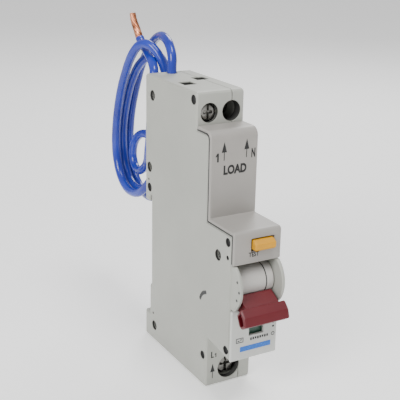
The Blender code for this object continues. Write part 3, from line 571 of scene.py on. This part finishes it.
def make_lead(finish, bare):
    """The coiled blue lead with the twisted wires of its bare end."""
    path = smooth_path(LEAD_ROUTE, LEAD_STEPS)
    swell = [1 + LEAD_UNEVEN * math.sin(0.9 * k) * math.sin(0.23 * k) for k in range(len(path))]
    lead = tube("lead_insulation", path, LEAD_RADIUS, finish, "housing", swell)
    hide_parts("neutral_lead")
    inner = [Vector(LEAD_ROUTE[-1]).lerp(Vector(BARE_END[0]), 0.2)]
    end = smooth_path([*inner, *BARE_END], BARE_STEPS)
    wires = [strand(end, k, bare) for k in range(STRANDS)]
    core = tube("bare_core", end, CORE_RADIUS, bare, "housing", roundness=THIN_ROUND)
    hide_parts("stripped_end")


# ---------------------------------------------------------------- printing
def facing(forward):
    """Puts print coordinates (x, up) on a front face, with the third one standing off it."""
    return lambda u, v, w: at(u, forward + w, v)


def printed_text(name, words, x, up, tall, forward, finish, narrow, weight):
    """Pad-printed capitals with their lower left corner at x and up."""
    text = bpy.data.curves.new(name, "FONT")
    text.body = words
    text.size = tall / CAPITAL_SHARE
    text.offset = weight * text.size
    text.resolution_u = 4
    holder = bpy.data.objects.new(name + ".text", text)
    bpy.context.scene.collection.objects.link(holder)
    bpy.context.view_layer.update()
    flat = bpy.data.meshes.new_from_object(holder.evaluated_get(bpy.context.evaluated_depsgraph_get()))
    bpy.data.objects.remove(holder)
    bm = bmesh.new()
    bm.from_mesh(flat)
    place = facing(forward)
    low = min(v.co.x for v in bm.verts)
    for vert in bm.verts:
        vert.co = place(x + (vert.co.x - low) * narrow, up + vert.co.y, PRINT_LIFT)
    raised = bmesh.ops.extrude_face_region(bm, geom=bm.faces[:])
    for vert in (g for g in raised["geom"] if isinstance(g, bmesh.types.BMVert)):
        vert.co.y -= PRINT_THICK * MM
    return put(name, mesh_of(name, bm), finish, "housing")


def printed_shape(name, outlines, forward, finish):
    """Flat outlines of x and up, printed on a front face."""
    bm = bmesh.new()
    for outline in outlines:
        prism(bm, outline, PRINT_LIFT, PRINT_LIFT + PRINT_THICK, facing(forward))
    return put(name, mesh_of(name, bm), finish, "housing")


def arrow(x, low, high, width):
    """Outlines of a narrow arrow pointing up, as a triangle on a thin stem."""
    neck = high - (high - low) * ARROW_HEAD
    triangle = [(x - width / 2, neck), (x + width / 2, neck), (x, high)]
    return [triangle, bar(x - ARROW_STEM / 2, x + ARROW_STEM / 2, low, neck + 0.02)]


def arc_points(x, up, radius, angles):
    return [(x + radius * math.cos(a), up + radius * math.sin(a)) for a in angles]


def circle_line(x, up, radius, line, half_sides=14):
    """Two halves of a printed circle."""
    halves = []
    for start in (0, math.pi):
        angles = [start + math.pi * k / half_sides for k in range(half_sides + 1)]
        inside = arc_points(x, up, radius - line, reversed(angles))
        halves.append(arc_points(x, up, radius, angles) + inside)
    return halves


def disc(x, up, radius, sides=20):
    return arc_points(x, up, radius, [2 * math.pi * k / sides for k in range(sides)])


def bar(x_low, x_high, low, high):
    return [(x_low, low), (x_high, low), (x_high, high), (x_low, high)]


def frame_lines(x_low, x_high, low, high, line):
    """Four thin bars round a box."""
    return [bar(x_low, x_high, low, low + line),
            bar(x_low, x_high, high - line, high),
            bar(x_low, x_low + line, low + line, high - line),
            bar(x_high - line, x_high, low + line, high - line)]


def make_printing(black, blue):
    """Legends of the load face, test button, line terminal and label; the numbers are x and up."""
    printed_shape("load_arrow_left", arrow(-3.9, 41.2, 47.3, width=1.9), LOAD_FACE, black)
    printed_shape("load_arrow_right", arrow(4.5, 41.4, 47.5, width=1.9), LOAD_FACE, black)
    one = [bar(-6.5, -5.9, 40.9, 43.8), [(-7.0, 43.0), (-7.0, 42.5), (-6.45, 42.95), (-6.45, 43.75)]]
    printed_shape("load_one", one, LOAD_FACE, black)
    printed_text("load_n", "N", 6.35, 41.2, 2.9, LOAD_FACE, black, narrow=0.50, weight=0.035)
    printed_text("load_word", "LOAD", -4.0, 36.6, 2.8, LOAD_FACE, black, narrow=0.80, weight=0.045)
    printed_text("test_word", "TEST", -3.3, 13.6, 1.5, NOSE_FACE, black, narrow=0.82, weight=0.02)
    letter = [bar(-6.9, -6.45, -28.6, -26.2), bar(-6.45, -5.75, -28.6, -28.2)]
    digit = [bar(-5.15, -4.8, -28.6, -27.1),
             [(-5.45, -27.45), (-5.45, -27.75), (-5.12, -27.45), (-5.12, -27.1)]]
    printed_shape("line_mark", letter + digit, LOAD_FACE, black)
    printed_shape("line_arrow", arrow(-6.2, -36.5, -30.9, width=1.8), LOAD_FACE, black)
    symbol = frame_lines(-6.9, -4.1, -15.9, -14.2, line=0.24)
    symbol += [bar(-6.3, -5.6, -15.4, -15.1), bar(-5.4, -4.6, -15.05, -14.75)]
    printed_shape("label_symbol", symbol, NOSE_FACE, black)
    rating = [bar(-1.5 + 0.9 * k, -0.88 + 0.9 * k, -15.85 + 0.09 * (k % 3), -14.9) for k in range(8)]
    printed_shape("label_rating", rating, NOSE_FACE, black)
    printed_shape("label_stripe", [bar(-5.3, 6.5, -19.3, -17.5)], NOSE_FACE, blue)
    printed_shape("label_off", circle_line(7.3, -15.3, radius=0.68, line=0.24), NOSE_FACE, black)
    printed_shape("label_dots", [disc(7.3, -12.6, 0.40), disc(7.3, -11.2, 0.34)], NOSE_FACE, black)


# ---------------------------------------------------------------- metal pieces
def cut(piece, name, corners_low, corners_high):
    """Takes a box out of a piece, from one corner to the other in millimetres."""
    bm = bmesh.new()
    bmesh.ops.create_cube(bm, size=1.0)
    low, high = at(*corners_low), at(*corners_high)
    for vert in bm.verts:
        vert.co = Vector(high[i] if vert.co[i] > 0 else low[i] for i in range(3))
    bmesh.ops.recalc_face_normals(bm, faces=bm.faces[:])
    cutter = bpy.data.objects.new(name, mesh_of(name, bm))
    bpy.context.scene.collection.objects.link(cutter)
    modifier = piece.modifiers.new(name, "BOOLEAN")
    modifier.object = cutter
    modifier.operation = "DIFFERENCE"
    modifier.solver = "EXACT"
    graph = bpy.context.evaluated_depsgraph_get()
    made = bpy.data.meshes.new_from_object(piece.evaluated_get(graph))
    piece.modifiers.clear()
    piece.data = made
    bpy.data.objects.remove(cutter)


def make_screw(name, node, head_depth, half, reach, finish):
    """A terminal screw: domed edge, straight slot, a shorter cross slot and a rolled thread."""
    low, high = node_span(node)
    x, up = (low[0] + high[0]) / 2, (low[2] + high[2]) / 2
    tip, front, head = low[1], high[1], (high[0] - low[0]) / 2
    length, shank = front - tip, head * SHANK_SHARE
    neck = length - head_depth
    profile = [(0, 0), (shank - 0.35, 0)]
    for k in range(int((neck - 2 * THREAD_START) / THREAD_PITCH)):
        along = THREAD_START + THREAD_PITCH * k
        profile += [(shank - THREAD_DEPTH, along), (shank, along + THREAD_PITCH / 2)]
    profile += [(shank - HEAD_CHAMFER, neck - HEAD_CHAMFER / 2), (head - HEAD_CHAMFER, neck),
                (head, neck + HEAD_CHAMFER)]
    profile += [(head - inset, length - below) for inset, below in HEAD_CROWN]
    bm = bmesh.new()
    lathe(bm, [*profile, (0, length)], at(x, tip, up), (0, -1, 0))
    piece = put(name, mesh_of(name, bm), finish, frame["nodes"][node]["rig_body"])
    cut(piece, name + ".slot", (x - half, front - SLOT_DEPTH, up - SLOT_REACH),
        (x + half, front + SLOT_ABOVE, up + SLOT_REACH))
    cut(piece, name + ".cross", (x - reach, front - CROSS_DEPTH, up - half),
        (x + reach, front + SLOT_ABOVE, up + half))
    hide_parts(node)
    return soften(piece, HEAD_EDGE)


def make_rivet(name, node, finish):
    """A tubular rivet with a rolled rim at both ends."""
    low, high = node_span(node)
    half, radius = high[0], (high[2] - low[2]) / 2
    near = [(r, -half + along) for r, along in RIVET_ROLL]
    near += [(radius - inset, -half + along) for inset, along in RIVET_RIM]
    far = [(r, -along) for r, along in reversed(near)]
    bm = bmesh.new()
    lathe(bm, near + far, at(0, (low[1] + high[1]) / 2, (low[2] + high[2]) / 2), (1, 0, 0), sides=32)
    piece = put(name, mesh_of(name, bm), finish, "housing")
    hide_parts(node)
    return shade(piece, 40)


# ---------------------------------------------------------------- whole object
def lined(name, profile, centre, axis, sides, finish, body="housing"):
    """A small turned lining, put on its body."""
    bm = bmesh.new()
    lathe(bm, profile, centre, axis, sides)
    shade(put(name, mesh_of(name, bm), finish, body))


def make_case(finishes):
    """Every visible piece of the case, and the dark linings of painted shade that make its openings read as
    deep.
    """
    for name, node, slot, radius, segments in REFINED:
        refined(name, node, finishes[slot], radius, segments)
    # the dark linings from here on are painted shade in the openings
    make_bore_shade(finishes["inner_plastic"])
    make_painted_shade_wells(finishes["well_shade"])
    make_painted_shade_entries(finishes["well_shade"])
    make_rivet_shade_wells(finishes["well_shade"])
    make_seam_shadow(finishes["inner_plastic"])
    make_cheek_shade_marks(finishes["inner_plastic"])
    make_drum_split(finishes["inner_plastic"])
    # the rivets take steel darkened with painted shade, so that their ends read as dark holes
    for k in range(1, RIVET_COUNT + 1):
        make_rivet(f"rivet_{k}", f"case_rivet_{k}", finishes["rivet_steel_shade"])


def make_bore_shade(finish):
    """Painted shade: dark floors and walls lining the blind holes and the curved slot in the left side."""
    edge_floor, middle_floor = BORE_FLOORS
    for k, (depth, height, radius, floor) in enumerate(SIDE_BORES, 1):
        tall = max(floor - BORE_EDGE, BORE_LEAST)
        profile = [(0, 0), (radius, 0), (radius, tall), (radius - BORE_LINING, tall),
                   (radius - 2 * BORE_LINING, edge_floor), (0, middle_floor)]
        centre = at(-HALF_WIDTH + floor - SKIN_GAP, *base(depth, height))
        lined(f"bore_shade_floor_{k}", profile, centre, (-1, 0, 0), 28, finish)


def make_painted_shade_wells(finish):
    """Painted shade: dark linings on the inner faces of the three screw wells."""
    for name, x, height, radius, front, reach in SCREW_WELLS:
        inner = radius - WELL_LINING
        profile = [(inner, 0), (radius, 0), (radius, reach), (inner, reach), (inner, 0)]
        lined(name, profile, at(x, *base(front - WELL_SET_BACK - reach, height)), (0, -1, 0), 48, finish)


def make_painted_shade_entries(finish):
    """Painted shade: dark linings on the inner faces and floors of the two cable entries on top."""
    low, high = ENTRY_HEIGHTS
    for name, (x_low, x_high), (back, front) in CABLE_ENTRIES:
        outline = bar(x_low, x_high, back - SEAT, front - SEAT)
        inner = bar(x_low + ENTRY_LINING, x_high - ENTRY_LINING,
                    back - SEAT + ENTRY_LINING, front - SEAT - ENTRY_LINING)
        bm = bmesh.new()
        levels = (outline, low), (outline, high), (inner, high), (inner, low + ENTRY_FLOOR)
        rings = [[bm.verts.new(at(x, forward, up - RAIL)) for x, forward in shape] for shape, up in levels]
        for lower, upper in zip(rings, rings[1:]):
            for i in range(4):
                bm.faces.new((lower[i], lower[(i + 1) % 4], upper[(i + 1) % 4], upper[i]))
        bm.faces.new(rings[0])
        bm.faces.new(rings[-1])
        put(name, mesh_of(name, bm), finish, "housing")


def make_rivet_shade_wells(finish):
    """Painted shade: dark linings on the walls of the recesses that the rivet ends sit in, on both sides.
    """
    inner = RECESS_RADIUS - RECESS_WALL
    profile = [(inner, 0), (RECESS_RADIUS, 0), (RECESS_RADIUS, RECESS_TALL),
               (RECESS_RADIUS - RECESS_MOUTH, RECESS_TALL), (inner, 0)]
    for k in range(1, RIVET_COUNT + 1):
        low, high = node_span(f"case_rivet_{k}")
        forward, up = (low[1] + high[1]) / 2, (low[2] + high[2]) / 2
        for side, outwards in (("left", -1), ("right", 1)):
            centre = at(outwards * (HALF_WIDTH - RECESS_FLOOR), forward, up)
            lined(f"rivet_shade_well_{side}_{k}", profile, centre, (outwards, 0, 0), 32, finish)


def make_seam_shadow(finish):
    """Painted shadow: a dark line in the joint between the cover's skin and the case, along the left and
    right edges.
    """
    for name, side in (("seam_shadow_left", -1), ("seam_shadow_right", 1)):
        path = [Vector((side * (HALF_WIDTH - SEAM_INSET), *base(d, h))) for d, h in SEAM_LINE]
        tube(name, path, SEAM_RADIUS, finish, "housing", roundness=3)


def make_cheek_shade_marks(finish):
    """Painted shade: small dark discs for three short moulded tick marks on the outside of the left cheek,
    near its rim.
    """
    for k, (forward, up) in enumerate(CHEEK_MARKS, 1):
        lined(f"cheek_shade_mark_{k}", MARK_PROFILE, at(CHEEK_SIDE, forward, up), (-1, 0, 0), 20, finish)


def make_drum_split(finish):
    """The painted shadow line between the two drums."""
    low, high = node_span("toggle_drum")
    outer = (high[2] - low[2]) / 2 - SPLIT_INSET
    inner = (high[2] - low[2]) / 2 - SPLIT_DEPTH
    profile = [(inner, 0), (outer, 0), (outer, SPLIT_WIDE), (inner, SPLIT_WIDE), (inner, 0)]
    centre = at(high[0] + SKIN_GAP, (low[1] + high[1]) / 2, (low[2] + high[2]) / 2)
    lined("drum_split", profile, centre, (1, 0, 0), 64, finish, body="toggle")


def finish_nodes(finishes):
    """Every CAD node takes the procedural finish of its own material slot."""
    for node in frame["nodes"].values():
        for place in node.material_slots:
            place.material = finishes[place.material.name.split(".")[0]]


def make_finishes():
    """The finish of every material slot, the painted shade of the wells, and the screw heads and rivets
    darkened with painted shade.
    """
    return {
        "case_plastic": moulded("case_finish", (0.35, 0.355, 0.32), 0.46),
        "cover_plastic": moulded("cover_finish", (0.295, 0.28, 0.26), 0.42, relief=0.015),
        "label_plastic": moulded("label_finish", (0.50, 0.51, 0.485), 0.40, relief=0.012, dirt=0.05),
        "toggle_red": moulded("toggle_finish", (0.105, 0.002, 0.007), 0.42, relief=0.015, tint=0.16),
        "drum_plastic": moulded("drum_finish", (0.47, 0.455, 0.43), 0.42, relief=0.012),
        "button_yellow": moulded("button_finish", (0.58, 0.27, 0.0), 0.62, relief=0.012, tint=0.10),
        "flag_green": moulded("flag_finish", (0.015, 0.075, 0.045), 0.36, tint=0.20),
        # the inner plastic's own dark colour, also used for the painted shade of bores, seam, cheek marks
        # and drum split
        "inner_plastic": moulded("inner_plastic_and_shade_finish", (0.030, 0.030, 0.030), 0.55, tint=0.15),
        # painted shade: the near-black lining of the wells, cable entries and rivet recesses
        "well_shade": moulded("well_finish", (0.03, 0.03, 0.028), 0.6, tint=0.2),
        "plated_steel": plated("steel_finish", (0.62, 0.61, 0.58), 0.26),
        # plated steel with tarnish, darkened further with painted shade for the screws deep in their wells
        "screw_steel_and_shade": plated("screw_steel_and_shade_finish", (0.24, 0.235, 0.22), 0.22, tarnish=0.7),
        # steel darkened with painted shade for the rivets
        "rivet_steel_shade": plated("rivet_shade_finish", (0.10, 0.10, 0.095), 0.45),
        "brass": plated("brass_finish", (0.66, 0.47, 0.20), 0.30),
        "copper": copper_wire("copper_finish"),
        "board_green": moulded("board_finish", (0.02, 0.14, 0.06), 0.40, grain=900.0, tint=0.25),
        "winding_epoxy": moulded("epoxy_finish", (0.08, 0.12, 0.30), 0.28, grain=600.0, relief=0.08,
                                 tint=0.2),
        "ceramic_tan": moulded("ceramic_finish", (0.48, 0.30, 0.14), 0.42, grain=1400.0, tint=0.15),
        "lead_blue": insulation("lead_finish"),
        "wire_brown": moulded("brown_finish", (0.14, 0.055, 0.025), 0.30, relief=0.02, tint=0.15),
    }


def main():
    finishes = make_finishes()
    make_camera()
    make_stage()
    make_lead(finishes["lead_blue"], finishes["copper"])
    finish_nodes(finishes)
    make_case(finishes)
    # the screw heads are darkened with painted shade
    for screw in SCREWS:
        make_screw(*screw, finishes["screw_steel_and_shade"])
    make_printing(ink("ink_black", (0.004, 0.004, 0.004)), ink("ink_blue", (0.003, 0.11, 0.48)))


main()
